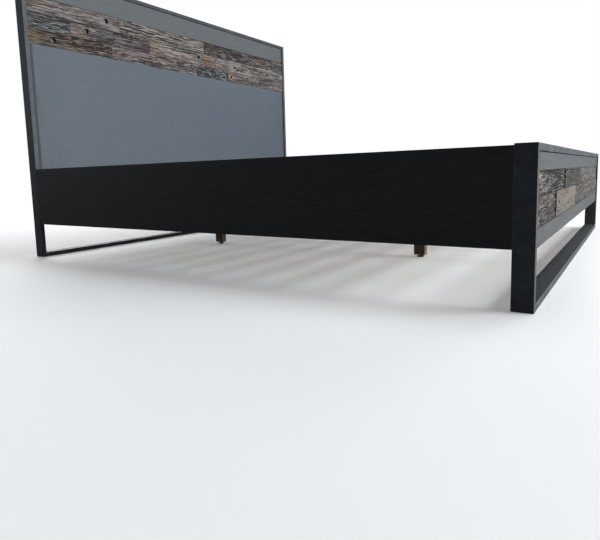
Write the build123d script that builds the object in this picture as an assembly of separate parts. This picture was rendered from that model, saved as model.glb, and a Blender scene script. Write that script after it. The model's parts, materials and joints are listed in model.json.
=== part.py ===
from build123d import *
import os

os.makedirs("parts", exist_ok=True)

# A king-size bed frame: a steel tube loop at the head and one at the foot, each filled with
# charcoal panels and rows of reclaimed boards, joined by two deep side rails that hook on.
# X runs across the bed, Y from the footboard to the headboard, Z up from the floor.
# The origin is on the floor under the middle of the bed. Lengths are in millimetres.

# Overall size
WIDTH = 2070.0
LENGTH = 2149.0
HEADBOARD_HEIGHT = 1312.0
FOOTBOARD_HEIGHT = 412.0

# Steel tube of the two loops: deep along Y, thin across
TUBE_DEPTH = 54.0
TUBE_FACE = 19.0
TUBE_WALL = 2.0
TUBE_RADIUS = 2.0

# Panels that fill the loops, and the boards on them
PANEL_BOTTOM = 154.0
PANEL_RECESS = 5.0
FACING_THICKNESS = 22.0
FACING_GAP = 2.0
BACKING_THICKNESS = 12.0
BOARD_GAP = 0.8
BOARD_SETBACK = 2.0
BOARD_RELIEF = (0.0, 1.5, -1.0, 2.0, 0.5)
BOARD_EDGE_RADIUS = 1.2
SPIKE_HOLE_DEPTH = 16.0

# Each row is (top height, bottom height, places of the butt joints across the bed)
HEADBOARD_ROWS = {
    "top": (1188.0, 1113.0, (-503.0, 144.0, 868.0)),
    "middle": (1113.0, 1041.0, (-795.0, -540.0, -302.0, 246.0)),
    "bottom": (1041.0, 973.0, (-793.0, -559.0, 75.0, 370.0)),
}
FOOTBOARD_ROWS = {
    "upper": (346.0, 280.0, (-426.0, 109.0)),
    "lower": (280.0, 202.0, (-635.0, -86.0)),
}
# Old spike holes, each (place across the bed, height, diameter)
HEADBOARD_SPIKES = (
    (-584.0, 1158.0, 24.0),
    (-703.0, 1085.0, 24.0),
    (96.0, 1089.0, 23.0),
    (446.0, 1075.0, 19.0),
    (820.0, 1077.0, 20.0),
    (-890.0, 1007.0, 28.0),
    (404.0, 1008.0, 20.0),
)
FOOTBOARD_SPIKES = ((-30.0, 241.0, 16.0),)

# Side rails and the ledges that carry the slats
RAIL_TOP = 408.0
RAIL_BOTTOM = 154.0
RAIL_THICKNESS = 28.0
RAIL_INSET = 1.0
RAIL_EDGE_RADIUS = 1.5
CLEAT_WIDTH = 30.0
CLEAT_HEIGHT = 40.0
CLEAT_END_MARGIN = 20.0
CLEAT_SCREW_PLACES = (-900.0, -600.0, -300.0, 0.0, 300.0, 600.0, 900.0)
CLEAT_SCREW_LENGTH = 45.0

# Slats
SLAT_TOP = 300.0
SLAT_THICKNESS = 20.0
SLAT_WIDTH = 90.0
SLAT_COUNT = 13
SLAT_END_MARGIN = 30.0
SLAT_SIDE_CLEARANCE = 2.0
SLAT_EDGE_RADIUS = 3.0
SLAT_SCREW_OFFSET = 25.0
SLAT_SCREW_LENGTH = 40.0

# Lengthwise beams and their legs
LEG_X = 325.0
LEG_Y = 540.0
LEG_THICKNESS = 30.0
LEG_BREADTH = 46.0
LEG_EDGE_RADIUS = 2.0
BEAM_HEIGHT = 90.0
HANGER_PLATE = 2.5
HANGER_REACH = 45.0
HANGER_LIP = 22.0
HANGER_BACK_DROP = 10.0
HANGER_CHEEK_DROP = 40.0
HANGER_SCREW_RISE = 12.0
HANGER_SCREW_DROP = 24.0
HANGER_SCREW_LENGTH = 13.0
LEG_BOLT_DIAMETER = 8.0
LEG_BOLT_HOLE = 8.6
LEG_BOLT_DROPS = (25.0, 65.0)
WASHER_DIAMETER = 16.0
WASHER_THICKNESS = 1.6
HEX_ACROSS_FLATS = 13.0
HEX_HEAD_HEIGHT = 5.3
HEX_NUT_HEIGHT = 6.5
BOLT_TAIL = 4.0

# Levelling glides
GLIDE_DIAMETER = 27.0
GLIDE_HEIGHT = 5.0
GLIDE_EDGE_RADIUS = 1.0
GLIDE_GAP = 4.5
STUD_DIAMETER = 8.0
STUD_REACH = 30.0
STUD_CLEARANCE = 0.05
INSERT_DIAMETER = 12.0
INSERT_LENGTH = 15.0
LEG_BORE_DIAMETER = 10.0
LEG_BORE_DEPTH = 36.0

# Hook plates let into the rail ends
PLATE_WIDTH = 14.0
PLATE_HEIGHT = 150.0
PLATE_THICKNESS = 3.0
PLATE_BOTTOM = 205.0
PLATE_EDGE_MARGIN = 3.0
HOOK_WIDTH = 4.0
HOOK_HEIGHT = 26.0
HOOK_LIP = 10.0
HOOK_LIP_THICKNESS = 3.0
HOOK_BACKLASH = 0.5
HOOK_OFFSETS = (28.0, 104.0)
SLOT_WIDTH = 6.0
SLOT_HEIGHT = 40.0
SLOT_OVERCUT = 1.0
PLATE_SCREW_OFFSETS = (12.0, 76.0, 138.0)
PLATE_SCREW_LENGTH = 45.0

# Tabs welded in the loops to hold the backing panels
TAB_SIZE = 34.0
TAB_THICKNESS = 3.0
TAB_HOLE = 5.0
HEADBOARD_TAB_HEIGHTS = (260.0, 560.0, 860.0, 1160.0)
FOOTBOARD_TAB_HEIGHTS = (200.0, 330.0)
TOP_TAB_PLACES = (-600.0, 0.0, 600.0)
TAB_SCREW_LENGTH = 14.0

# Screws
SCREW_SHANK = 4.0
SCREW_HEAD = 8.0
SCREW_HEAD_HEIGHT = 2.4
SCREW_RECESS_LENGTH = 3.2
SCREW_RECESS_WIDTH = 0.9
SCREW_RECESS_DEPTH = 1.2

HALF_WIDTH = WIDTH / 2
HALF_LENGTH = LENGTH / 2
LOOP_INNER_X = HALF_WIDTH - TUBE_FACE
FOOT_FRONT = -HALF_LENGTH
HEAD_FRONT = HALF_LENGTH - TUBE_DEPTH
RAIL_START = FOOT_FRONT + TUBE_DEPTH
RAIL_END = HEAD_FRONT
RAIL_OUTER_X = HALF_WIDTH - RAIL_INSET
RAIL_INNER_X = RAIL_OUTER_X - RAIL_THICKNESS
SLAT_BOTTOM = SLAT_TOP - SLAT_THICKNESS
CLEAT_INNER_X = RAIL_INNER_X - CLEAT_WIDTH
BEAM_BOTTOM = SLAT_BOTTOM - BEAM_HEIGHT
BEAM_X = LEG_X - LEG_THICKNESS
LEG_BOTTOM = GLIDE_HEIGHT + GLIDE_GAP
FOOT_BACKING_BACK = FOOT_FRONT + PANEL_RECESS + FACING_THICKNESS + BACKING_THICKNESS
HEAD_FACE = HEAD_FRONT + PANEL_RECESS
PLATE_X = RAIL_OUTER_X - PLATE_WIDTH / 2 - PLATE_EDGE_MARGIN
SIDES = {"left": -1, "right": 1}
ENDS = {"foot": -1, "head": 1}


def block(x, y, z):
    """A box from three (low, high) pairs."""
    spans = [sorted(pair) for pair in (x, y, z)]
    sizes = [high - low for low, high in spans]
    centre = [(low + high) / 2 for low, high in spans]
    return Pos(*centre) * Box(*sizes)


def rounded_block(x, y, z, radius):
    """A box with every edge slightly rounded."""
    solid = block(x, y, z)
    return fillet(solid.edges(), radius)


def group(solids):
    """Separate solids kept together in one node."""
    return Compound(children=list(solids))


def prism(points, y0, y1):
    """An outline in the XZ plane, extruded from y0 to y1."""
    outline = Plane.XZ.offset(-y0) * Polygon(*points, align=None)
    return extrude(outline, amount=y1 - y0, dir=(0, 1, 0))


def screw(length):
    """A countersunk wood screw with its head's flat at the origin, pointing down -Z."""
    head = Pos(0, 0, -SCREW_HEAD_HEIGHT / 2) * Cone(SCREW_SHANK / 2, SCREW_HEAD / 2, SCREW_HEAD_HEIGHT)
    shank_length = length - SCREW_HEAD_HEIGHT
    shank = Pos(0, 0, -SCREW_HEAD_HEIGHT - shank_length / 2) * Cylinder(SCREW_SHANK / 2, shank_length)
    bar = Box(SCREW_RECESS_LENGTH, SCREW_RECESS_WIDTH, SCREW_RECESS_DEPTH)
    cross_recess = Pos(0, 0, -SCREW_RECESS_DEPTH / 2) * (bar + Rot(0, 0, 90) * bar)
    return head + shank - cross_recess


# ---- Steel loops -------------------------------------------------------------------


def tube(length):
    """Hollow rectangular tube along Z, from Z=0."""
    outer = RectangleRounded(TUBE_FACE, TUBE_DEPTH, TUBE_RADIUS)
    inner = Rectangle(TUBE_FACE - 2 * TUBE_WALL, TUBE_DEPTH - 2 * TUBE_WALL)
    return extrude(outer - inner, amount=length)


def loop_tubes(height, front):
    """The four mitred tubes of a loop that stands on the floor, as a dict of solids."""
    middle = front + TUBE_DEPTH / 2
    inner_x = LOOP_INNER_X
    low, high = TUBE_FACE, height - TUBE_FACE
    back = front + TUBE_DEPTH
    lying = Rot(0, 90, 0) * tube(WIDTH)
    tubes = {
        "floor_bar": Pos(-HALF_WIDTH, middle, TUBE_FACE / 2) * lying,
        "top_bar": Pos(-HALF_WIDTH, middle, height - TUBE_FACE / 2) * lying,
    }
    mitres = {
        "floor_bar": [(-HALF_WIDTH, 0), (HALF_WIDTH, 0), (inner_x, low), (-inner_x, low)],
        "top_bar": [(-HALF_WIDTH, height), (-inner_x, high), (inner_x, high), (HALF_WIDTH, height)],
    }
    for side, sign in SIDES.items():
        name = f"{side}_post"
        tubes[name] = Pos(sign * (HALF_WIDTH - TUBE_FACE / 2), middle, 0) * tube(height)
        outer = sign * HALF_WIDTH
        inner = sign * inner_x
        mitres[name] = [(outer, 0), (outer, height), (inner, high), (inner, low)]
    return {name: tubes[name] & prism(mitres[name], front, back) for name in tubes}


def hook_slots(sign, wall_y):
    """The two slots in a post's wall that take a rail's hooks."""
    slots = []
    x = sign * PLATE_X
    half = SLOT_WIDTH / 2
    reach = TUBE_WALL + SLOT_OVERCUT
    slot_y = (wall_y - reach, wall_y + reach)
    for offset in HOOK_OFFSETS:
        bottom = PLATE_BOTTOM + offset
        slots.append(block((x - half, x + half), slot_y, (bottom, bottom + SLOT_HEIGHT)))
    return slots


def panel_tabs(front, heights, height):
    """Tabs welded inside a loop, behind its backing panel, as (solid, screw place) pairs."""
    y0 = front + PANEL_RECESS + FACING_THICKNESS + BACKING_THICKNESS
    y1 = y0 + TAB_THICKNESS
    places = []
    for sign in SIDES.values():
        places += [(sign * (LOOP_INNER_X - TAB_SIZE / 2), z) for z in heights]
    top = height - TUBE_FACE - TAB_SIZE / 2
    places += [(x, top) for x in TOP_TAB_PLACES]
    pairs = []
    half = TAB_SIZE / 2
    for x, z in places:
        tab = block((x - half, x + half), (y0, y1), (z - half, z + half))
        hole = Pos(x, (y0 + y1) / 2, z) * Rot(90, 0, 0) * Cylinder(TAB_HOLE / 2, TAB_THICKNESS * 2)
        pairs.append((tab - hole, (x, y1, z)))
    return pairs


# ---- Panels and boards -------------------------------------------------------------


def facing(front, bottom, top):
    """A painted panel across a loop, between two heights, with a narrow gap beside each post."""
    y0 = front + PANEL_RECESS
    reach = LOOP_INNER_X - FACING_GAP
    return block((-reach, reach), (y0, y0 + FACING_THICKNESS), (bottom, top))


def backing(front, height):
    """The plywood sheet behind a loop's panels and boards."""
    y0 = front + PANEL_RECESS + FACING_THICKNESS
    y1 = y0 + BACKING_THICKNESS
    return block((-LOOP_INNER_X, LOOP_INNER_X), (y0, y1), (PANEL_BOTTOM, height - TUBE_FACE))


def board_rows(prefix, rows, front, spikes):
    """Every reclaimed board of a loop, by name, with the old spike holes bored in it."""
    boards = {}
    back = front + PANEL_RECESS + FACING_THICKNESS
    gap = BOARD_GAP / 2
    for row, (top, bottom, joints) in rows.items():
        edges = (-LOOP_INNER_X, *joints, LOOP_INNER_X)
        for number, (x0, x1) in enumerate(zip(edges, edges[1:]), start=1):
            relief = BOARD_RELIEF[(len(boards) + number) % len(BOARD_RELIEF)]
            face = front + PANEL_RECESS + BOARD_SETBACK - relief
            spans = ((x0 + gap, x1 - gap), (face, back), (bottom + gap, top - gap))
            board = rounded_block(*spans, BOARD_EDGE_RADIUS)
            for x, z, diameter in spikes:
                if x0 < x < x1 and bottom < z < top:
                    hole = Rot(90, 0, 0) * Cylinder(diameter / 2, SPIKE_HOLE_DEPTH * 2)
                    board -= Pos(x, face, z) * hole
            boards[f"{prefix}_board_{row}_{number}"] = board
    return boards


# ---- Side rails --------------------------------------------------------------------


def rail_plate(sign, end):
    """A steel plate let flush into one end of a rail, with two hooks that go into the post."""
    rail_end_y = RAIL_END if end > 0 else RAIL_START
    x = sign * PLATE_X
    half = PLATE_WIDTH / 2
    top = PLATE_BOTTOM + PLATE_HEIGHT
    plate = block((x - half, x + half), (rail_end_y - end * PLATE_THICKNESS, rail_end_y), (PLATE_BOTTOM, top))
    behind = rail_end_y + end * (TUBE_WALL + HOOK_BACKLASH)
    tip = behind + end * HOOK_LIP_THICKNESS
    hook_x = (x - HOOK_WIDTH / 2, x + HOOK_WIDTH / 2)
    for offset in HOOK_OFFSETS:
        bottom = PLATE_BOTTOM + offset
        plate += block(hook_x, (rail_end_y, tip), (bottom, bottom + HOOK_HEIGHT))
        plate += block(hook_x, (behind, tip), (bottom - HOOK_LIP, bottom + HOOK_HEIGHT))
    return plate


def plate_screws(sign, end):
    """The screws that hold a hook plate on its rail."""
    rail_end_y = RAIL_END if end > 0 else RAIL_START
    turned = Rot(-90 * end, 0, 0) * screw(PLATE_SCREW_LENGTH)
    return [Pos(sign * PLATE_X, rail_end_y, PLATE_BOTTOM + z) * turned for z in PLATE_SCREW_OFFSETS]


def side_rail(sign):
    """A deep side rail, with a pocket at each end for its hook plate."""
    x = (sign * RAIL_INNER_X, sign * RAIL_OUTER_X)
    rail = block(x, (RAIL_START, RAIL_END), (RAIL_BOTTOM, RAIL_TOP))
    long_edges = rail.edges().filter_by(Axis.Y)
    rail = fillet(long_edges, RAIL_EDGE_RADIUS)
    for end in ENDS.values():
        rail_end_y = RAIL_END if end > 0 else RAIL_START
        pocket_x = (sign * PLATE_X - PLATE_WIDTH / 2, sign * PLATE_X + PLATE_WIDTH / 2)
        pocket_y = (rail_end_y - end * PLATE_THICKNESS, rail_end_y + end)
        rail -= block(pocket_x, pocket_y, (PLATE_BOTTOM, PLATE_BOTTOM + PLATE_HEIGHT))
    return rail


def cleat(sign):
    """The ledge on the inner face of a rail that the slats rest on."""
    x = (sign * CLEAT_INNER_X, sign * RAIL_INNER_X)
    y = (RAIL_START + CLEAT_END_MARGIN, RAIL_END - CLEAT_END_MARGIN)
    return block(x, y, (SLAT_BOTTOM - CLEAT_HEIGHT, SLAT_BOTTOM))


def cleat_screws():
    """Screws through both ledges into their rails."""
    made = []
    z = SLAT_BOTTOM - CLEAT_HEIGHT / 2
    for sign in SIDES.values():
        turned = Rot(0, -90 * sign, 0) * screw(CLEAT_SCREW_LENGTH)
        made += [Pos(sign * CLEAT_INNER_X, y, z) * turned for y in CLEAT_SCREW_PLACES]
    return made


# ---- Slats -------------------------------------------------------------------------


def slat_places():
    """The middle of each slat along the bed."""
    first = RAIL_START + SLAT_END_MARGIN + SLAT_WIDTH / 2
    last = RAIL_END - SLAT_END_MARGIN - SLAT_WIDTH / 2
    step = (last - first) / (SLAT_COUNT - 1)
    return [first + step * index for index in range(SLAT_COUNT)]


def slat(y):
    """One slat that reaches from rail to rail."""
    reach = RAIL_INNER_X - SLAT_SIDE_CLEARANCE
    half = SLAT_WIDTH / 2
    solid = block((-reach, reach), (y - half, y + half), (SLAT_BOTTOM, SLAT_TOP))
    return fillet(solid.edges().filter_by(Axis.X), SLAT_EDGE_RADIUS)


def slat_screws():
    """Two screws at each end of each slat, down into the ledges."""
    reach = CLEAT_INNER_X + CLEAT_WIDTH / 2
    offsets = (-SLAT_SCREW_OFFSET, SLAT_SCREW_OFFSET)
    places = [(x, y + offset) for y in slat_places() for x in (-reach, reach) for offset in offsets]
    return [Pos(x, y, SLAT_TOP) * screw(SLAT_SCREW_LENGTH) for x, y in places]


# ---- Beams, hangers and legs -------------------------------------------------------


def leg_bolt_holes(x, y):
    """Clearance holes for the two bolts that join a leg to its beam."""
    turned = Rot(0, 90, 0) * Cylinder(LEG_BOLT_HOLE / 2, 3 * LEG_THICKNESS)
    return [Pos(x, y, SLAT_BOTTOM - drop) * turned for drop in LEG_BOLT_DROPS]


def beam(sign):
    """A lengthwise beam under the slats, held in a hanger at each end."""
    half = LEG_THICKNESS / 2
    x = (sign * BEAM_X - half, sign * BEAM_X + half)
    y = (FOOT_BACKING_BACK + HANGER_PLATE, HEAD_FACE - HANGER_PLATE)
    solid = block(x, y, (BEAM_BOTTOM, SLAT_BOTTOM))
    for leg_y in (-LEG_Y, LEG_Y):
        for hole in leg_bolt_holes(sign * BEAM_X, leg_y):
            solid -= hole
    return solid


def hanger(sign, end):
    """A steel cradle on a panel's face that carries one end of a beam."""
    face = HEAD_FACE if end > 0 else FOOT_BACKING_BACK
    x = sign * BEAM_X
    half = LEG_THICKNESS / 2
    wing = half + HANGER_LIP
    bottom = BEAM_BOTTOM - HANGER_PLATE
    back_top = SLAT_BOTTOM - HANGER_BACK_DROP
    cheek_top = SLAT_BOTTOM - HANGER_CHEEK_DROP
    back = (face, face - end * HANGER_PLATE)
    reach = (face, face - end * HANGER_REACH)
    solid = block((x - wing, x + wing), back, (bottom, back_top))
    outer = half + HANGER_PLATE
    solid += block((x - outer, x + outer), reach, (bottom, BEAM_BOTTOM))
    for cheek in (-1, 1):
        solid += block((x + cheek * half, x + cheek * outer), reach, (bottom, cheek_top))
    return solid


def hanger_screws():
    """Four screws through each hanger's back plate into the panel."""
    made = []
    x_offset = LEG_THICKNESS / 2 + HANGER_PLATE + (HANGER_LIP - HANGER_PLATE) / 2
    heights = (BEAM_BOTTOM + HANGER_SCREW_RISE, SLAT_BOTTOM - HANGER_SCREW_DROP)
    for end in ENDS.values():
        face = HEAD_FACE - HANGER_PLATE if end > 0 else FOOT_BACKING_BACK + HANGER_PLATE
        turned = Rot(90 * end, 0, 0) * screw(HANGER_SCREW_LENGTH)
        for sign in SIDES.values():
            for side in (-1, 1):
                x = sign * BEAM_X + side * x_offset
                made += [Pos(x, face, z) * turned for z in heights]
    return made


def leg(x_sign, y_sign):
    """A wooden leg beside its beam, with a stepped bore in its foot for the insert and the stud."""
    x = x_sign * LEG_X
    y = y_sign * LEG_Y
    half_x = LEG_THICKNESS / 2
    half_y = LEG_BREADTH / 2
    solid = block((x - half_x, x + half_x), (y - half_y, y + half_y), (LEG_BOTTOM, SLAT_BOTTOM))
    solid = fillet(solid.edges().filter_by(Axis.Z), LEG_EDGE_RADIUS)
    solid -= Pos(x, y, LEG_BOTTOM + INSERT_LENGTH / 2) * Cylinder(INSERT_DIAMETER / 2, INSERT_LENGTH)
    solid -= Pos(x, y, LEG_BOTTOM + LEG_BORE_DEPTH / 2) * Cylinder(LEG_BORE_DIAMETER / 2, LEG_BORE_DEPTH)
    for hole in leg_bolt_holes(x, y):
        solid -= hole
    return solid


def insert(x, y):
    """The threaded insert in a leg's foot."""
    bore = STUD_DIAMETER / 2 + STUD_CLEARANCE
    sleeve = Cylinder(INSERT_DIAMETER / 2, INSERT_LENGTH) - Cylinder(bore, INSERT_LENGTH)
    return Pos(x, y, LEG_BOTTOM + INSERT_LENGTH / 2) * sleeve


def glide(x, y):
    """A levelling glide: a nylon foot moulded on a steel stud."""
    foot = Pos(0, 0, GLIDE_HEIGHT / 2) * Cylinder(GLIDE_DIAMETER / 2, GLIDE_HEIGHT)
    foot = fillet(foot.edges(), GLIDE_EDGE_RADIUS)
    stud_length = LEG_BOTTOM + STUD_REACH - GLIDE_HEIGHT
    stud = Pos(0, 0, GLIDE_HEIGHT + stud_length / 2) * Cylinder(STUD_DIAMETER / 2, stud_length)
    return Pos(x, y, 0) * (foot + stud)


def leg_bolt(x_sign, y, drop):
    """A hex bolt with its nut and two washers, across a leg and its beam."""
    radius = LEG_BOLT_DIAMETER / 2
    half_grip = LEG_THICKNESS
    outer = half_grip + WASHER_THICKNESS
    washer = Cylinder(WASHER_DIAMETER / 2, WASHER_THICKNESS) - Cylinder(LEG_BOLT_HOLE / 2, WASHER_THICKNESS)
    hexagon = RegularPolygon(HEX_ACROSS_FLATS / 2, 6, major_radius=False)
    head = Pos(0, 0, outer) * extrude(hexagon, amount=HEX_HEAD_HEIGHT)
    shank_length = 2 * outer + HEX_NUT_HEIGHT + BOLT_TAIL
    shank = Pos(0, 0, outer - shank_length / 2) * Cylinder(radius, shank_length)
    nut = extrude(hexagon, amount=HEX_NUT_HEIGHT) - Cylinder(radius, 3 * HEX_NUT_HEIGHT)
    washer_place = half_grip + WASHER_THICKNESS / 2
    pieces = [
        head + shank,
        Pos(0, 0, -outer - HEX_NUT_HEIGHT) * nut,
        Pos(0, 0, washer_place) * washer,
        Pos(0, 0, -washer_place) * washer,
    ]
    seat = Pos(x_sign * (LEG_X + BEAM_X) / 2, y, SLAT_BOTTOM - drop) * Rot(0, 90 * x_sign, 0)
    return [seat * piece for piece in pieces]


# ---- Assembly ----------------------------------------------------------------------


def headboard():
    """Every piece of the headboard, by node name."""
    tubes = loop_tubes(HEADBOARD_HEIGHT, HEAD_FRONT)
    for side, sign in SIDES.items():
        for slot in hook_slots(sign, HEAD_FRONT):
            tubes[f"{side}_post"] -= slot
    nodes = {f"headboard_{name}": solid for name, solid in tubes.items()}
    row_top = HEADBOARD_ROWS["top"][0]
    row_bottom = HEADBOARD_ROWS["bottom"][1]
    nodes["headboard_top_rail"] = facing(HEAD_FRONT, row_top, HEADBOARD_HEIGHT - TUBE_FACE - FACING_GAP)
    nodes["headboard_lower_panel"] = facing(HEAD_FRONT, PANEL_BOTTOM, row_bottom)
    nodes["headboard_back_panel"] = backing(HEAD_FRONT, HEADBOARD_HEIGHT)
    nodes.update(board_rows("headboard", HEADBOARD_ROWS, HEAD_FRONT, HEADBOARD_SPIKES))
    return nodes


def footboard():
    """Every piece of the footboard, by node name."""
    tubes = loop_tubes(FOOTBOARD_HEIGHT, FOOT_FRONT)
    for side, sign in SIDES.items():
        for slot in hook_slots(sign, RAIL_START):
            tubes[f"{side}_post"] -= slot
    nodes = {f"footboard_{name}": solid for name, solid in tubes.items()}
    row_top = FOOTBOARD_ROWS["upper"][0]
    row_bottom = FOOTBOARD_ROWS["lower"][1]
    nodes["footboard_upper_rail"] = facing(FOOT_FRONT, row_top, FOOTBOARD_HEIGHT - TUBE_FACE - FACING_GAP)
    nodes["footboard_lower_rail"] = facing(FOOT_FRONT, PANEL_BOTTOM, row_bottom)
    nodes["footboard_back_panel"] = backing(FOOT_FRONT, FOOTBOARD_HEIGHT)
    nodes.update(board_rows("footboard", FOOTBOARD_ROWS, FOOT_FRONT, FOOTBOARD_SPIKES))
    return nodes


def tabs_and_screws():
    """The welded tabs of both loops, and the screws that hold the backing panels on them."""
    pairs = panel_tabs(HEAD_FRONT, HEADBOARD_TAB_HEIGHTS, HEADBOARD_HEIGHT)
    pairs += panel_tabs(FOOT_FRONT, FOOTBOARD_TAB_HEIGHTS, FOOTBOARD_HEIGHT)
    turned = Rot(-90, 0, 0) * screw(TAB_SCREW_LENGTH)
    screws = [Pos(*place) * turned for _, place in pairs]
    return {"panel_tabs": group([tab for tab, _ in pairs]), "panel_screws": group(screws)}


def rails():
    """The side rails with their ledges, hook plates and screws."""
    nodes = {}
    corners = [(sign, end) for sign in SIDES.values() for end in ENDS.values()]
    for side, sign in SIDES.items():
        nodes[f"side_rail_{side}"] = side_rail(sign)
        nodes[f"slat_ledge_{side}"] = cleat(sign)
    nodes["rail_hook_plates"] = group([rail_plate(sign, end) for sign, end in corners])
    plate_screw_lists = [plate_screws(sign, end) for sign, end in corners]
    nodes["hook_plate_screws"] = group([one for each in plate_screw_lists for one in each])
    nodes["ledge_screws"] = group(cleat_screws())
    return nodes


def slat_deck():
    """The slats and their screws."""
    slats = [slat(y) for y in slat_places()]
    return {"slats": group(slats), "slat_screws": group(slat_screws())}


def centre_support():
    """The two beams, their hangers, and the four legs with their levelling glides."""
    nodes = {}
    for side, sign in SIDES.items():
        nodes[f"support_beam_{side}"] = beam(sign)
    corners = [(sign, end) for sign in SIDES.values() for end in ENDS.values()]
    nodes["beam_hangers"] = group([hanger(sign, end) for sign, end in corners])
    nodes["hanger_screws"] = group(hanger_screws())
    inserts = []
    bolts = []
    for side, sign in SIDES.items():
        for place, end in ENDS.items():
            x = sign * LEG_X
            y = end * LEG_Y
            nodes[f"support_leg_{place}_{side}"] = leg(sign, end)
            nodes[f"leg_glide_{place}_{side}"] = glide(x, y)
            inserts.append(insert(x, y))
            for drop in LEG_BOLT_DROPS:
                bolts += leg_bolt(sign, y, drop)
    nodes["leg_inserts"] = group(inserts)
    nodes["leg_bolts"] = group(bolts)
    return nodes


bed = {**headboard(), **footboard(), **tabs_and_screws(), **rails(), **slat_deck(), **centre_support()}
for node_name, node_shape in bed.items():
    node_shape.label = node_name
    export_step(node_shape, f"parts/{node_name}.step")
print(len(bed), "nodes")
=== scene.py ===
import json
import math

import bpy
import numpy as np
from mathutils import Matrix, Vector


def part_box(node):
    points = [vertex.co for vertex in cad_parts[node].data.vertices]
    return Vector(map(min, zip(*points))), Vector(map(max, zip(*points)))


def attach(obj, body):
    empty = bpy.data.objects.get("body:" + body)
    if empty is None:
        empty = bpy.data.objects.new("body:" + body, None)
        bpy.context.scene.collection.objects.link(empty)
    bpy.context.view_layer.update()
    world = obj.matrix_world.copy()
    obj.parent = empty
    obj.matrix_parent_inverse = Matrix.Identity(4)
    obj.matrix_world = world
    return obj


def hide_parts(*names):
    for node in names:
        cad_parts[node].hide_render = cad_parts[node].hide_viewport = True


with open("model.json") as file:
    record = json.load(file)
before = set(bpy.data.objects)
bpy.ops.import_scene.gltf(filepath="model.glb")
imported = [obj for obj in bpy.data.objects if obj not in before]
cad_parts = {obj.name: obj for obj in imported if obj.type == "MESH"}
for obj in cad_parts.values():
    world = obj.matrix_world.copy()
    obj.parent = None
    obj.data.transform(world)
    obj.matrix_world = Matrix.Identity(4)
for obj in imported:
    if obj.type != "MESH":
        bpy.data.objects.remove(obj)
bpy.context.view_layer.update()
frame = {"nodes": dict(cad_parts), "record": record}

MM = 0.001
BODY = "bed"
NODES = frame["nodes"]


# ---- Shader building ----------------------------------------------------------------

# Where the largest part of a surface's direction shows a rounded edge, and where a flat face
ROUNDED, FLAT = 0.84, 0.97


def tinted(colour, factor):
    """A colour made lighter or darker."""
    return tuple(min(1.0, c * factor) for c in colour)


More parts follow.
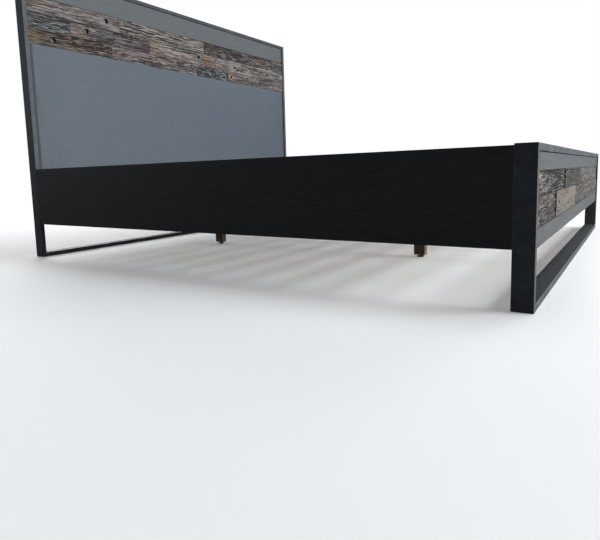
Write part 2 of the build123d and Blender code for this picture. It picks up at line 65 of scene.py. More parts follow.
class Tree:
    """A Principled material that is built one node at a time."""

    def __init__(self, name):
        self.material = bpy.data.materials.new(name)
        self.material.use_nodes = True
        self.nodes = self.material.node_tree.nodes
        self.links = self.material.node_tree.links
        self.nodes.clear()
        self.shader = self.nodes.new("ShaderNodeBsdfPrincipled")
        output = self.nodes.new("ShaderNodeOutputMaterial")
        self.links.new(self.shader.outputs[0], output.inputs["Surface"])
        self.coordinate = self.nodes.new("ShaderNodeTexCoord")

    def put(self, socket, value):
        """Sets an input, or links another node's output to it."""
        if isinstance(value, bpy.types.NodeSocket):
            self.links.new(value, socket)
        elif isinstance(value, tuple) and len(value) == 3 and len(socket.default_value) == 4:
            socket.default_value = (*value, 1)
        else:
            socket.default_value = value

    def place(self, scale=(1, 1, 1)):
        """Object coordinates, in metres, stretched by scale."""
        mapping = self.nodes.new("ShaderNodeMapping")
        self.put(mapping.inputs["Vector"], self.coordinate.outputs["Object"])
        mapping.inputs["Scale"].default_value = scale
        return mapping.outputs[0]

    def axes(self, source):
        """The X, Y and Z of a texture coordinate, such as Object or Normal."""
        node = self.nodes.new("ShaderNodeSeparateXYZ")
        self.put(node.inputs[0], self.coordinate.outputs[source])
        return node.outputs

    def noise(self, vector, scale, detail=4, roughness=0.55, distortion=0.0):
        """Fractal noise around 0.5, finer where the scale is larger."""
        node = self.nodes.new("ShaderNodeTexNoise")
        self.put(node.inputs["Vector"], vector)
        node.inputs["Scale"].default_value = scale
        node.inputs["Detail"].default_value = detail
        node.inputs["Roughness"].default_value = roughness
        node.inputs["Distortion"].default_value = distortion
        return node.outputs[0]

    def math(self, operation, a, b=0.0, clamp=False):
        """One step of arithmetic."""
        node = self.nodes.new("ShaderNodeMath")
        node.operation = operation
        node.use_clamp = clamp
        self.put(node.inputs[0], a)
        self.put(node.inputs[1], b)
        return node.outputs[0]

    def plus(self, a, b):
        """The sum of two values."""
        return self.math("ADD", a, b)

    def times(self, a, b, clamp=False):
        """The product of two values, kept from 0 to 1 if clamp is set."""
        return self.math("MULTIPLY", a, b, clamp)

    def span(self, value, low, high, to_low=0.0, to_high=1.0):
        """to_low where the value is low, to_high where it is high, and straight between."""
        node = self.nodes.new("ShaderNodeMapRange")
        self.put(node.inputs["Value"], value)
        node.inputs["From Min"].default_value = low
        node.inputs["From Max"].default_value = high
        node.inputs["To Min"].default_value = to_low
        node.inputs["To Max"].default_value = to_high
        return node.outputs[0]

    def ramp(self, factor, stops):
        """A colour that runs through stops, each a position and a colour."""
        node = self.nodes.new("ShaderNodeValToRGB")
        self.put(node.inputs[0], factor)
        elements = node.color_ramp.elements
        while len(elements) < len(stops):
            elements.new(0.5)
        for element, (position, colour) in zip(elements, stops):
            element.position = position
            element.color = (*colour, 1)
        return node.outputs[0]

    def mix(self, factor, a, b, blend="MIX"):
        """Colour a where the factor is 0, and colour b over it where the factor is 1."""
        node = self.nodes.new("ShaderNodeMix")
        node.data_type = "RGBA"
        node.blend_type = blend
        self.put(node.inputs[0], factor)
        self.put(node.inputs[6], a)
        self.put(node.inputs[7], b)
        return node.outputs[2]

    def attribute(self, name):
        """A mask that is stored on the mesh."""
        node = self.nodes.new("ShaderNodeAttribute")
        node.attribute_name = name
        return node.outputs["Fac"]

    def edge_highlight_and_wear(self, patchy):
        """Up to 1 on rounded edges, where the surface faces along no axis, and broken up by a texture: a
        painted highlight, and paint worn thin.
        """
        facing = self.axes("Normal")
        largest = 0.0
        for axis in "XYZ":
            largest = self.math("MAXIMUM", self.math("ABSOLUTE", facing[axis]), largest)
        edge = self.span(largest, ROUNDED, FLAT, 1.0, 0.0)
        return self.times(edge, self.span(patchy, 0.35, 0.60, 0.3, 1.0))

    def colour(self, value):
        """Sets the base colour."""
        self.put(self.shader.inputs["Base Color"], value)

    def rough(self, value):
        """Sets the roughness."""
        self.put(self.shader.inputs["Roughness"], value)

    def sheen(self, value):
        """Sets how strongly a plain, unplated surface reflects."""
        self.shader.inputs["Specular IOR Level"].default_value = value

    def bump(self, height, depth):
        """Fine relief from a height between 0 and 1, with its depth in metres."""
        node = self.nodes.new("ShaderNodeBump")
        node.inputs["Distance"].default_value = depth
        node.inputs["Strength"].default_value = 1.0
        self.put(node.inputs["Height"], height)
        self.links.new(node.outputs[0], self.shader.inputs["Normal"])


# ---- Camera, floor and light --------------------------------------------------------

CAMERA_AT = Vector((-2.388, -1.273, 0.357))
CAMERA_YAW = 55.45
CAMERA_PITCH = -6.87
CAMERA_ROLL = -1.69
CAMERA_LENS = 31.24
CAMERA_SENSOR = 36
CAMERA_SHIFT = (0.0297, -0.0567)
CAMERA_NEAR = 0.02

FLOOR_REACH = 7.5
FLOOR_FADE = 2.2
FLOOR_DROP = 0.5 * MM
FLOOR_SIDES = 96
FLOOR_SPECKLE = 60
FLOOR_SHADE = 0.88
FLOOR_SPECK_SHADE = FLOOR_SHADE * 0.98
FLOOR_BOUNCE = 0.18
FLOOR_GLOW = 0.16
FLOOR_ROUGH = 0.75

WHITE = (1.0, 1.0, 1.0)
AMBIENT = 0.125
AMBIENT_COLOUR = (0.93, 0.96, 1, 1)

# Soft lights: name, place, target, size, power and colour
LIGHTS = (
    ("key", (3.2, -14.5, 3.6), (0.2, 0.9, 0.6), (7.0, 4.0), 1700, (0.88, 0.95, 1.0)),
    ("foot_fill", (0.6, -4.8, 0.9), (0.1, -1.0, 0.25), (2.6, 1.2), 176, (1.0, 0.98, 0.95)),
    ("head_fill", (0.6, -2.2, 3.9), (-0.3, 1.05, 0.9), (1.6, 1.2), 36, (0.72, 0.88, 1.0)),
    ("top", (0.6, -0.2, 4.6), (0.1, 0.0, 0.0), (2.6, 3.6), 64, WHITE),
    ("left_back", (-2.7, 3.9, 1.5), (-1.0, 1.0, 0.8), (1.2, 1.6), 15, (0.80, 0.92, 1.0)),
    ("back", (2.2, 6.5, 2.8), (0.0, 0.8, 0.6), (4.0, 3.0), 260, WHITE),
    ("right", (6.4, -3.0, 4.0), (0.8, 0.0, 0.4), (3.0, 2.4), 120, WHITE),
)


def make_camera():
    """A low camera off the left side, near the foot, that looks across the bed to its headboard."""
    yaw, pitch, roll = (math.radians(a) for a in (CAMERA_YAW, CAMERA_PITCH, CAMERA_ROLL))
    forward = Vector((math.sin(yaw) * math.cos(pitch), math.cos(yaw) * math.cos(pitch), math.sin(pitch)))
    level_right = Vector((math.cos(yaw), -math.sin(yaw), 0))
    level_up = level_right.cross(forward)
    right = math.cos(roll) * level_right + math.sin(roll) * level_up
    up = math.cos(roll) * level_up - math.sin(roll) * level_right
    data = bpy.data.cameras.new("camera")
    data.sensor_width = CAMERA_SENSOR
    data.lens = CAMERA_LENS
    data.shift_x, data.shift_y = CAMERA_SHIFT
    data.clip_start = CAMERA_NEAR
    camera = bpy.data.objects.new("camera", data)
    turn = Matrix((right, up, -forward)).transposed().to_4x4()
    camera.matrix_world = Matrix.Translation(CAMERA_AT) @ turn
    bpy.context.scene.collection.objects.link(camera)
    bpy.context.scene.camera = camera


def area_light(name, at, target, size, power, colour):
    """A soft rectangular light that points at a target."""
    data = bpy.data.lights.new(name, "AREA")
    data.shape = "RECTANGLE"
    data.size, data.size_y = size
    data.energy = power
    data.color = colour
    light = bpy.data.objects.new(name, data)
    light.location = at
    light.rotation_mode = "QUATERNION"
    light.rotation_quaternion = (Vector(target) - Vector(at)).to_track_quat("-Z", "Y")
    light.visible_camera = False
    bpy.context.scene.collection.objects.link(light)


def disc(name, radius):
    """A flat disc just under the floor level."""
    turn = [2 * math.pi * k / FLOOR_SIDES for k in range(FLOOR_SIDES)]
    rim = [(radius * math.cos(a), radius * math.sin(a), 0) for a in turn]
    mesh = bpy.data.meshes.new(name)
    mesh.from_pydata(rim, [], [range(FLOOR_SIDES)])
    made = bpy.data.objects.new(name, mesh)
    made.location.z = -FLOOR_DROP
    bpy.context.scene.collection.objects.link(made)
    return made


def floor_material():
    """Pale floor paint that fades into the backdrop far from the bed, and sends little light back up."""
    tree = Tree("floor_paint")
    speckle = tree.noise(tree.place(), FLOOR_SPECKLE, detail=3)
    seen = tree.ramp(speckle, [(0.3, (FLOOR_SPECK_SHADE,) * 3), (0.7, (FLOOR_SHADE,) * 3)])
    to_camera = tree.nodes.new("ShaderNodeLightPath").outputs["Is Camera Ray"]
    tree.colour(tree.mix(to_camera, (FLOOR_BOUNCE,) * 3, seen))
    tree.rough(FLOOR_ROUGH)
    tree.put(tree.shader.inputs["Emission Color"], WHITE)
    tree.put(tree.shader.inputs["Emission Strength"], tree.times(to_camera, FLOOR_GLOW))
    away = tree.nodes.new("ShaderNodeVectorMath")
    away.operation = "LENGTH"
    tree.put(away.inputs[0], tree.coordinate.outputs["Object"])
    fade = tree.span(away.outputs["Value"], FLOOR_FADE, FLOOR_REACH, 1.0, 0.0)
    tree.put(tree.shader.inputs["Alpha"], tree.times(fade, fade))
    return tree.material


def make_world():
    """A white backdrop for the camera, and a dim even light for everything else."""
    world = bpy.data.worlds.new("studio")
    bpy.context.scene.world = world
    world.use_nodes = True
    nodes, links = world.node_tree.nodes, world.node_tree.links
    nodes.clear()
    seen = nodes.new("ShaderNodeBackground")
    seen.inputs["Color"].default_value = (*WHITE, 1)
    ambient = nodes.new("ShaderNodeBackground")
    ambient.inputs["Color"].default_value = AMBIENT_COLOUR
    ambient.inputs["Strength"].default_value = AMBIENT
    path = nodes.new("ShaderNodeLightPath")
    mix = nodes.new("ShaderNodeMixShader")
    output = nodes.new("ShaderNodeOutputWorld")
    links.new(path.outputs["Is Camera Ray"], mix.inputs["Fac"])
    links.new(ambient.outputs[0], mix.inputs[1])
    links.new(seen.outputs[0], mix.inputs[2])
    links.new(mix.outputs[0], output.inputs["Surface"])


def make_studio():
    """A pale floor, a white backdrop and soft lights, the largest in front of the foot of the bed."""
    make_world()
    for light in LIGHTS:
        area_light(*light)
    bpy.context.scene.view_settings.view_transform = "Standard"
    floor = disc("floor", FLOOR_REACH)
    floor.data.materials.append(floor_material())


# ---- Materials of the carried-over parts --------------------------------------------

# Depth of each material's fine relief, in metres
PAINT_DEPTH = 0.00018
PLY_DEPTH = 0.0002
PLANED_DEPTH = 0.00025
METAL_DEPTH = 0.00008
NYLON_DEPTH = 0.00012
TIMBER_DEPTH = 0.0016

# Along a painted panel, in metres from its ends: how far the darker blotches spread, and the painted shadow
# seam by the post
BLOTCH_REACH = 0.20
SHADOW_SEAM_FULL, SHADOW_SEAM_GONE = 0.011, 0.020
SHADOW_SEAM_RAGGED = 0.003

RING_WARP = 2.2
PLY_BASE = (0.052, 0.050, 0.050)
NYLON_DARK = (0.022, 0.022, 0.024)
NYLON_LIGHT = (0.050, 0.050, 0.053)


def steel_paint(name, base):
    """Charcoal powder coat: a fine orange peel, faint scuffs, and tops darkened as painted shade."""
    tree = Tree(name)
    cloud = tree.noise(tree.place((3, 3, 3)), 6.0, detail=7, roughness=0.65)
    scratch = tree.noise(tree.place((40, 40, 4)), 3.0, detail=6, roughness=0.7)
    scuff = tree.span(scratch, 0.62, 0.78)
    body = tree.ramp(cloud, [(0.32, tinted(base, 0.72)), (0.68, tinted(base, 1.30))])
    body = tree.mix(tree.times(scuff, 0.35), body, tinted(base, 2.0))
    # Painted shade: faces that point up are darkened, broken up by the cloud texture.
    faces_up = tree.span(tree.axes("Normal")["Z"], 0.6, 0.9)
    painted_top_shade = tree.times(faces_up, tree.span(cloud, 0.2, 0.8, 0.45, 0.85))
    body = tree.mix(painted_top_shade, body, tinted(base, 0.40))
    # Rounded edges lightened: painted highlight, and paint worn thin there.
    tree.colour(tree.mix(tree.times(tree.edge_highlight_and_wear(cloud), 0.75), body, tinted(base, 2.8)))
    tree.rough(tree.span(tree.plus(cloud, tree.times(scuff, 0.4)), 0.3, 1.0, 0.50, 0.70))
    tree.sheen(0.20)
    tree.bump(tree.noise(tree.place(), 850, detail=2), PAINT_DEPTH)
    return tree.material


def dark_ends_and_seam_shadow(tree, body, base, brush, half_width):
    """The body colour with darker blotches towards a panel's ends, and a ragged painted shadow seam at
    them.
    """
    inset = tree.math("SUBTRACT", half_width, tree.math("ABSOLUTE", tree.axes("Object")["X"]))
    ragged = tree.plus(inset, tree.times(brush, SHADOW_SEAM_RAGGED))
    blotch = tree.times(tree.span(inset, 0.0, BLOTCH_REACH, 1.0, 0.0), tree.span(brush, 0.46, 0.64))
    body = tree.mix(tree.times(blotch, 0.55), body, tinted(base, 0.35))
    # Painted shadow: a dark ragged band along each end, where the panel meets the post.
    return tree.mix(tree.span(ragged, SHADOW_SEAM_FULL, SHADOW_SEAM_GONE, 0.95, 0.0), body, tinted(base, 0.16))


def charcoal_wood(name, base, grain, upright, rough=0.50, sheen=0.30, half_width=None):
    """Painted wood: the grain just shows along X, and upright is the share of brush marks that stand up."""
    tree = Tree(name)
    streak = tree.noise(tree.place((2.2, 60, 60)), 3.2, detail=7, roughness=0.62, distortion=0.25)
    fine = tree.noise(tree.place((9, 420, 420)), 2.4, detail=4, roughness=0.6)
    cloud = tree.noise(tree.place((1.2, 1.2, 1.8)), 2.6, detail=4)
    tone = tree.plus(tree.times(streak, 0.65), tree.times(cloud, 0.35))
    dark, light = tinted(base, 1 - grain), tinted(base, 1 + grain)
    body = tree.ramp(tone, [(0.28, dark), (0.52, base), (0.78, light)])
    body = tree.mix(tree.span(fine, 0.30, 0.42), tinted(base, 1 - 1.1 * grain), body)
    brush = tree.noise(tree.place((100, 12, 4)), 1.3, detail=5, roughness=0.65)
    weave = tree.noise(tree.place((7, 14, 130)), 1.2, detail=4, roughness=0.65)
    coat = tree.plus(tree.times(brush, upright), tree.times(weave, 1 - upright))
    body = tree.mix(tree.span(coat, 0.40, 0.62, 0.0, 3.4 * grain), body, tinted(base, 1.28))
    if half_width:
        body = dark_ends_and_seam_shadow(tree, body, base, brush, half_width)
    # Rounded edges lightened: painted highlight, and paint worn thin there.
    tree.colour(tree.mix(tree.times(tree.edge_highlight_and_wear(streak), 0.6), body, tinted(base, 1.9)))
    tree.rough(tree.span(tone, 0.3, 0.7, rough, rough + 0.08))
    tree.sheen(sheen)
    tree.bump(tree.plus(tree.times(streak, 0.6), tree.times(fine, 0.4)), PAINT_DEPTH)
    return tree.material


def back_ply():
    """Dark stained plywood: a quiet straight figure along X, and fine pores."""
    tree = Tree("back_ply")
    drift = tree.noise(tree.place((0.5, 1, 2.6)), 2.4, detail=5)
    rings = tree.nodes.new("ShaderNodeTexWave")
    rings.bands_direction = "Z"
    tree.put(rings.inputs["Vector"], tree.place((0.10, 1, 1.0)))
    rings.inputs["Scale"].default_value = 16
    rings.inputs["Distortion"].default_value = 14
    rings.inputs["Detail"].default_value = 3
    rings.inputs["Detail Scale"].default_value = 0.7
    fine = tree.noise(tree.place((6, 300, 300)), 2.5, detail=5)
    tone = tree.plus(tree.times(rings.outputs["Fac"], 0.28), tree.times(drift, 0.72))
    dark, light = tinted(PLY_BASE, 0.72), tinted(PLY_BASE, 1.25)
    body = tree.ramp(tone, [(0.25, dark), (0.5, PLY_BASE), (0.75, light)])
    tree.colour(tree.mix(tree.span(fine, 0.32, 0.46), tinted(PLY_BASE, 0.5), body))
    tree.rough(tree.span(fine, 0.3, 0.7, 0.55, 0.75))
    tree.bump(tree.plus(fine, tree.times(tone, 0.2)), PLY_DEPTH)
    return tree.material


def along_grain(along, across, lengthwise):
    """A stretch that is long along one axis and fine across it."""
    stretch = [across, across, across]
    stretch[along] = lengthwise
    return tuple(stretch)


def plain_wood(name, early, late, along, scale=1.0):
    """Planed timber with growth rings; along is the axis that the grain follows, 0, 1 or 2."""
    tree = Tree(name)
    stretch = along_grain(along, 26.0, 0.9)
    warp = tree.noise(tree.place(tuple(s * 0.25 for s in stretch)), 1.0, detail=2)
    offset = tree.nodes.new("ShaderNodeCombineXYZ")
    for axis in range(3):
        if axis != along:
            tree.put(offset.inputs[axis], warp)
    warped = tree.nodes.new("ShaderNodeVectorMath")
    warped.operation = "MULTIPLY_ADD"
    tree.put(warped.inputs[0], offset.outputs[0])
    warped.inputs[1].default_value = (RING_WARP,) * 3
    tree.put(warped.inputs[2], tree.place(tuple(s * scale for s in stretch)))
    bands = tree.noise(warped.outputs[0], 1.5, detail=5, roughness=0.6, distortion=0.4)
    fine = tree.noise(tree.place(along_grain(along, 420.0, 7.0)), 1.6, detail=4)
    lot = tree.noise(tree.place((0.3, 6.4, 0.3)), 1.0, detail=0)
    tone = tree.plus(bands, tree.times(tree.math("SUBTRACT", fine, 0.5), 0.35))
    body = tree.ramp(tone, [(0.30, late), (0.46, early), (0.60, tinted(early, 1.10)), (0.74, late)])
    tree.colour(tree.mix(tree.span(lot, 0.3, 0.7, 0.0, 0.35), body, tinted(late, 0.9)))
    tree.rough(tree.span(tone, 0.3, 0.7, 0.50, 0.68))
    tree.bump(tree.plus(fine, tree.times(bands, 0.5)), PLANED_DEPTH)
    return tree.material


def bright_metal(name, base, low, high):
    """Plated or turned metal with fine cloudy wear, and a roughness from low to high."""
    tree = Tree(name)
    cloud = tree.noise(tree.place(), 180, detail=5, roughness=0.65)
    tree.colour(tree.ramp(cloud, [(0.3, tinted(base, 0.72)), (0.7, tinted(base, 1.08))]))
    tree.shader.inputs["Metallic"].default_value = 1.0
    tree.rough(tree.span(cloud, 0.3, 0.7, low, high))
    tree.bump(tree.noise(tree.place(), 1400, detail=2), METAL_DEPTH)
    return tree.material


def nylon():
    """Moulded black nylon with a fine spark texture."""
    tree = Tree("black_nylon")
    scuff = tree.noise(tree.place(), 90, detail=4)
    tree.colour(tree.ramp(scuff, [(0.35, NYLON_DARK), (0.75, NYLON_LIGHT)]))
    tree.rough(tree.span(scuff, 0.3, 0.7, 0.42, 0.60))
    tree.bump(tree.noise(tree.place(), 1500, detail=2), NYLON_DEPTH)
    return tree.material


def materials_by_slot(reach):
    """The material of each slot in the record."""
    return {
        "charcoal_steel": steel_paint("charcoal_powder_coat", (0.060, 0.068, 0.078)),
        # The head panel's charcoal is tinted blue as a painted reflection of cool light; the top rail and
        # footboard rails use the same paint with less of that tint.
        "charcoal_wood": charcoal_wood(
            "charcoal_panel", (0.060, 0.074, 0.094), grain=0.15, upright=0.45, half_width=reach,
        ),
        "black_rail_wood": charcoal_wood(
            "black_rail", (0.0345, 0.0362, 0.0400), grain=0.28, upright=0.1, rough=0.56, sheen=0.22,
        ),
        "back_panel_wood": back_ply(),
        "slat_wood": plain_wood("planed_pine_long", (0.64, 0.47, 0.29), (0.44, 0.27, 0.13), 1),
        "leg_wood": plain_wood("brown_leg", (0.24, 0.175, 0.12), (0.13, 0.085, 0.055), 2, scale=1.6),
        "zinc_steel": bright_metal("zinc_plate", (0.56, 0.57, 0.58), 0.28, 0.46),
        "brass": bright_metal("turned_brass", (0.72, 0.53, 0.24), 0.22, 0.38),
        "nylon": nylon(),
    }


def materials_by_node(reach):
    """The nodes that differ from the rest of their slot. The top bar's paint is a darker copy as painted
    shade, and the painted rails are copies of the panel paint without its blue painted reflection.
    """
    foot = charcoal_wood(
        "charcoal_foot_panel", (0.062, 0.066, 0.070), grain=0.42, upright=0.06, half_width=reach,
    )
    return {
        "slats": plain_wood("planed_pine", (0.66, 0.49, 0.30), (0.45, 0.28, 0.14), 0),
        # Painted shade: the headboard's top bar gets a darker copy of the same charcoal powder coat.
        "headboard_top_bar": steel_paint("charcoal_powder_coat_painted_shade", (0.036, 0.042, 0.050)),
        "headboard_top_rail": charcoal_wood(
            "charcoal_top_panel", (0.060, 0.066, 0.073), grain=0.20, upright=0.25, half_width=reach,
        ),
        "footboard_upper_rail": foot,
        "footboard_lower_rail": foot,
    }


def dress_cad_nodes():
    """Gives every carried-over CAD node its material."""
    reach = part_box("headboard_lower_panel")[1].x
    by_slot = materials_by_slot(reach)
    by_node = materials_by_node(reach)
    for part in frame["record"]["subparts"]:
        material = by_node.get(part["node"]) or by_slot.get(part["material_slot"])
        if material:
            slots = NODES[part["node"]].data.materials
            slots.clear()
            slots.append(material)


# ---- Reclaimed boards ---------------------------------------------------------------

# Spike holes, in mm. A small hole is narrower than this radius; its bottom gets painted shade and its rim
# is rusty.
HOLE_DEPTH = 15.5
SMALL_HOLE = 11.8
RIM_INSIDE, RIM_OUTSIDE = 1.3, 0.4
LIP_HEIGHT, LIP_AT, LIP_WIDTH = 0.3, 2.2, 1.6
UNLIT_FROM, UNLIT_TO = -2.2, -4.0
HALO_AT, HALO_WIDTH = 3.4, 2.8
STAIN_REACH = 3.2

# Where the CAD boards have their holes, in metres
CAD_HOLE_DEPTH = 0.016
SAME_LEVEL = 2e-4
HOLES_APART = 0.03

# Relief, in mm
DEEPEST = 17.0
CRACK_DEPTH = 3.2
EDGE_WEAR_DEPTH = 1.5
SAWN_WOBBLE = 0.5

# How grain lines wander, in mm: how far, and the length and height of the noise
WANDERS = ((11, 210, 55), (4, 52, 24))

# Splits, in mm: half of their length, and their width
CRACK_HALF = (30, 140)
CRACK_WIDTH = (0.6, 1.3)

# Knots, in radii: length, uneven width, and how far along and across the grain bends round them
KNOT_LONG = 1.35
KNOT_LEAST, KNOT_MORE = 0.72, 0.56
BEND_ALONG, BEND_ACROSS = 3.6, 2.2
BEND = 0.8
KNOT_RINGS = 13
KNOT_SWIRL = 6

# Crumbled edges, in mm: the least width, and how much wider they can be
WORN_LEAST, WORN_MORE = 0.8, 3.6

# Border of a coloured patch, outside and inside its lower and upper edge, as a fraction of the height
PATCH_OUT, PATCH_IN = 0.18, 0.08

# Steps of a board's grid, in mm: along it, up it, around a hole and near an edge
STEP_ALONG, STEP_UP = 3.2, 1.6
STEP_BY_HOLE, HOLE_REACH = 1.1, 13.0
STEP_BY_EDGE, FIRST_EDGE, LAST_EDGE = 1.2, 3, 4.5
LEAST_STEP = 0.4
ON_EDGE = 1e-6

# Lattice noise: cells in its table, how much weaker each finer octave is, and the step between seeds
CELLS = 128
FADE = 0.55
SEED_STRIDE = 31

# Colours that all boards share
HOLE_SHADES = [(0.30, (0.075, 0.082, 0.095)), (0.70, (0.170, 0.182, 0.205))]
# Painted shade in the holes
HOLE_PAINTED_SHADE = (0.010, 0.008, 0.007)
CRACK_DARK = (0.012, 0.010, 0.009)
IRON_STAIN = (0.215, 0.215, 0.215)
# Darker colour on crumbled edges, sawn ends and the board's sides
EDGE_DARK = (0.030, 0.019, 0.016)
WARM_SHIFT = (1.11, 0.94, 0.84)


def lattice_noise(u, v, seed):
    """Smooth noise from 0 to 1 at the points (u, v)."""
    table = np.random.default_rng(seed).random((CELLS, CELLS))
    iu, iv = np.floor(u).astype(int), np.floor(v).astype(int)
    fu, fv = u - iu, v - iv
    fu, fv = fu * fu * (3 - 2 * fu), fv * fv * (3 - 2 * fv)
    iu, iv, ju, jv = iu % CELLS, iv % CELLS, (iu + 1) % CELLS, (iv + 1) % CELLS
    low = table[iv, iu] * (1 - fu) + table[iv, ju] * fu
    high = table[jv, iu] * (1 - fu) + table[jv, ju] * fu
    return low * (1 - fv) + high * fv


def fractal(x, z, long, tall, seed, octaves=3):
    """Several octaves of lattice noise, from 0 to 1; the coarsest has cells of long by tall mm."""
    u, v = x / long, z / tall
    total, weight = 0.0, 0.0
    for octave in range(octaves):
        share = FADE ** octave
        total = total + share * lattice_noise(u * 2 ** octave, v * 2 ** octave, seed * SEED_STRIDE + octave)
        weight += share
    return total / weight


def smooth(value, low, high):
    """0 below low, 1 above high, and smooth between."""
    t = np.clip((value - low) / (high - low), 0, 1)
    return t * t * (3 - 2 * t)


def hump(value, at, width):
    """1 at a value, fading away over a width on both sides of it."""
    return np.exp(-((value - at) / width) ** 2)


class Accent:
    """A patch of another colour, and its region as fractions of the board's length and height."""

    def __init__(self, colour, strength, x0, x1, z0, z1, soft=0.12):
        self.colour = colour
        self.strength = strength
        self.region = (x0, x1, z0, z1)
        self.soft = soft


class Look:
    """How one reclaimed board looks. Lengths are in mm.

    relief      depth of the weathering
    spacing     from one grain line to the next
    wave        how far the lines wander
    chop        0 for whole lines, 1 for dashes
    run         length of a dash
    contrast    between ridges and valleys
    fissures    strength of the fine dark lines
    knots       each as x, z and radius, from the left end and the lower edge
    cracks      how many long splits
    pits        how much of the board is gouged, and pit_height is how tall a gouge is
    warmth      strength of the warm tint
    accents     patches of another colour
    """

    def __init__(self, palette, relief=1.6, spacing=7.5, wave=1.0, chop=0.5, run=110.0, contrast=0.8,
                 fissures=1.0, knots=(), cracks=4, pits=0.25, pit_height=6.5, warmth=0.35, accents=()):
        self.light, self.mid, self.dark = palette
        self.relief = relief
        self.spacing = spacing
        self.wave = wave
        self.chop = chop
        self.run = run
        self.contrast = contrast
        self.fissures = fissures
        self.knots = knots
        self.cracks = cracks
        self.pits = pits
        self.pit_height = pit_height
        self.warmth = warmth
        self.accents = accents


def grain_line(x, z, look, seed):
    """The height at which the grain line through each point would be, if the grain were straight."""
    line = z
    for number, (far, long, tall) in enumerate(WANDERS):
        line = line + look.wave * far * (fractal(x, z, long, tall, seed + number) - 0.5)
    for kx, kz, radius in look.knots:
        along, across = (x - kx) / (BEND_ALONG * radius), (z - kz) / (BEND_ACROSS * radius)
        reach = np.exp(-along ** 2 - across ** 2)
        line = line - BEND * (z - kz) * reach
    return line


def cracks_along(x, line, look, seed, length, height):
    """Long thin splits that follow the grain, 1 at their middle."""
    found = np.zeros_like(x)
    rng = np.random.default_rng(seed)
    for _ in range(look.cracks):
        middle, half = rng.uniform(0, length), rng.uniform(*CRACK_HALF)
        level, wide = rng.uniform(0.1, 0.9) * height, rng.uniform(*CRACK_WIDTH)
        along = np.clip(1 - ((x - middle) / half) ** 2, 0, 1)
        found = np.maximum(found, along * hump(line, level, wide))
    return found


def pits_along(x, line, look, seed):
    """Short gouges that follow the grain, 1 at their middle."""
    threshold = 0.80 - 0.16 * look.pits
    gouge = fractal(x, line, 0.5 * look.run, look.pit_height, seed)
    return smooth(gouge, threshold, threshold + 0.10)


def knot_masks(x, z, look, seed):
    """Where the knots are, and the light and dark rings inside them."""
    inside = np.zeros_like(x)
    rings = np.zeros_like(x)
    for kx, kz, radius in look.knots:
        uneven = radius * (KNOT_LEAST + KNOT_MORE * fractal(x, z, 9, 9, seed, 2))
        d = np.hypot((x - kx) / KNOT_LONG, z - kz) / uneven
        here = 1 - smooth(d, 0.70, 1.30)
        swirl = d * KNOT_RINGS + KNOT_SWIRL * fractal(x, z, 7, 7, seed + 1)
        rings = np.where(here > inside, (0.5 + 0.5 * np.cos(swirl)) * smooth(d, 0.10, 0.55), rings)
        inside = np.maximum(inside, here)
    return inside, rings


def edge_wear(x, z, seed, length, height):
    """Up to 1 where a long edge has crumbled away, less at a sawn end, and 0 elsewhere."""
    long_edge = np.minimum(z, height - z)
    sawn_end = np.minimum(x, length - x)
    worn = WORN_LEAST + WORN_MORE * fractal(x, z, 19, 19, seed) ** 2
    rounding = np.clip(1 - long_edge / worn, 0, 1) ** 2
    return np.maximum(rounding, 0.12 * np.clip(1 - sawn_end / (0.4 * worn), 0, 1) ** 2)


def ridges(x, z, line, look, seed):
    """How light the wood is at each point, and the depth in mm that its softer parts have lost."""
    drift = fractal(x, line, 320, 24, seed + 2)
    rings = 0.5 - 0.5 * np.cos(2 * math.pi * (line / look.spacing + 1.8 * drift))
    dash = np.clip(0.5 + 2.1 * (fractal(x, line, look.run, 0.7 * look.spacing, seed + 3) - 0.5), 0, 1)
    streak = fractal(x, line, 0.55 * look.run, 2.1, seed + 4)
    chip = fractal(x, line, 26, 5.5, seed + 5)
    patch = fractal(x, z, 130, 34, seed + 6)
    flake = fractal(x, line, 19, 2.8, seed + 15, 2)
    groove = (1 - look.chop) * rings + look.chop * dash
    valley = smooth(groove + 0.35 * (chip - 0.5), 0.52, 0.88) * (0.35 + patch)
    fissure = smooth(fractal(x, line, 0.8 * look.run, 2.0, seed + 16), 0.57, 0.72)
    fissure = fissure * (0.4 + patch) * look.fissures
    tone = 0.64 - look.contrast * (0.72 * valley - 1.05 * (streak - 0.5) - 0.55 * (flake - 0.5))
    tone = tone + look.contrast * (0.55 * (patch - 0.5) - 0.34 * fissure) + 0.35 * (chip - 0.5)
    lost = 0.85 * valley + 0.35 * (1 - streak) + 0.30 * (1 - flake) + 0.20 * (1 - chip) + 0.3 * fissure
    return tone, look.relief * lost


def unlit_wall(beyond_rim, bowl, radius):
    """1 on a hole's wall, and all over a small hole's bottom, where hardly any light reaches and painted
    shade goes.
    """
    inside = smooth(bowl, 0.02, 0.3)
    return inside if radius < SMALL_HOLE else inside * smooth(beyond_rim, UNLIT_TO, UNLIT_FROM)


def spike_holes(x, z, depth, seed, holes):
    """The depth with the holes in it, and the masks of their stains, bores, painted wall shade and rusty
    rims.
    """
    stain, bore, wall_shade, halo = (np.zeros_like(x) for _ in range(4))
    uneven = 1 + 0.10 * (fractal(x, z, 5, 5, seed) - 0.5)
    for hx, hz, radius in holes:
        rim = radius * uneven
        distance = np.hypot(x - hx, z - hz)
        beyond = distance - rim
        bowl = 1 - smooth(distance, rim - RIM_INSIDE, rim + RIM_OUTSIDE)
        lip = LIP_HEIGHT * hump(beyond, LIP_AT, LIP_WIDTH)
        depth = np.maximum(depth * (1 - bowl), HOLE_DEPTH * bowl) - lip
        stain = np.maximum(stain, np.exp(-np.clip(beyond, 0, None) / STAIN_REACH))
        bore = np.maximum(bore, bowl)
        wall_shade = np.maximum(wall_shade, unlit_wall(beyond, bowl, radius))
        if radius < SMALL_HOLE:
            halo = np.maximum(halo, hump(beyond, HALO_AT, HALO_WIDTH))
    return depth, {"stain": stain, "bore": bore, "wall_shade": wall_shade, "halo": halo}


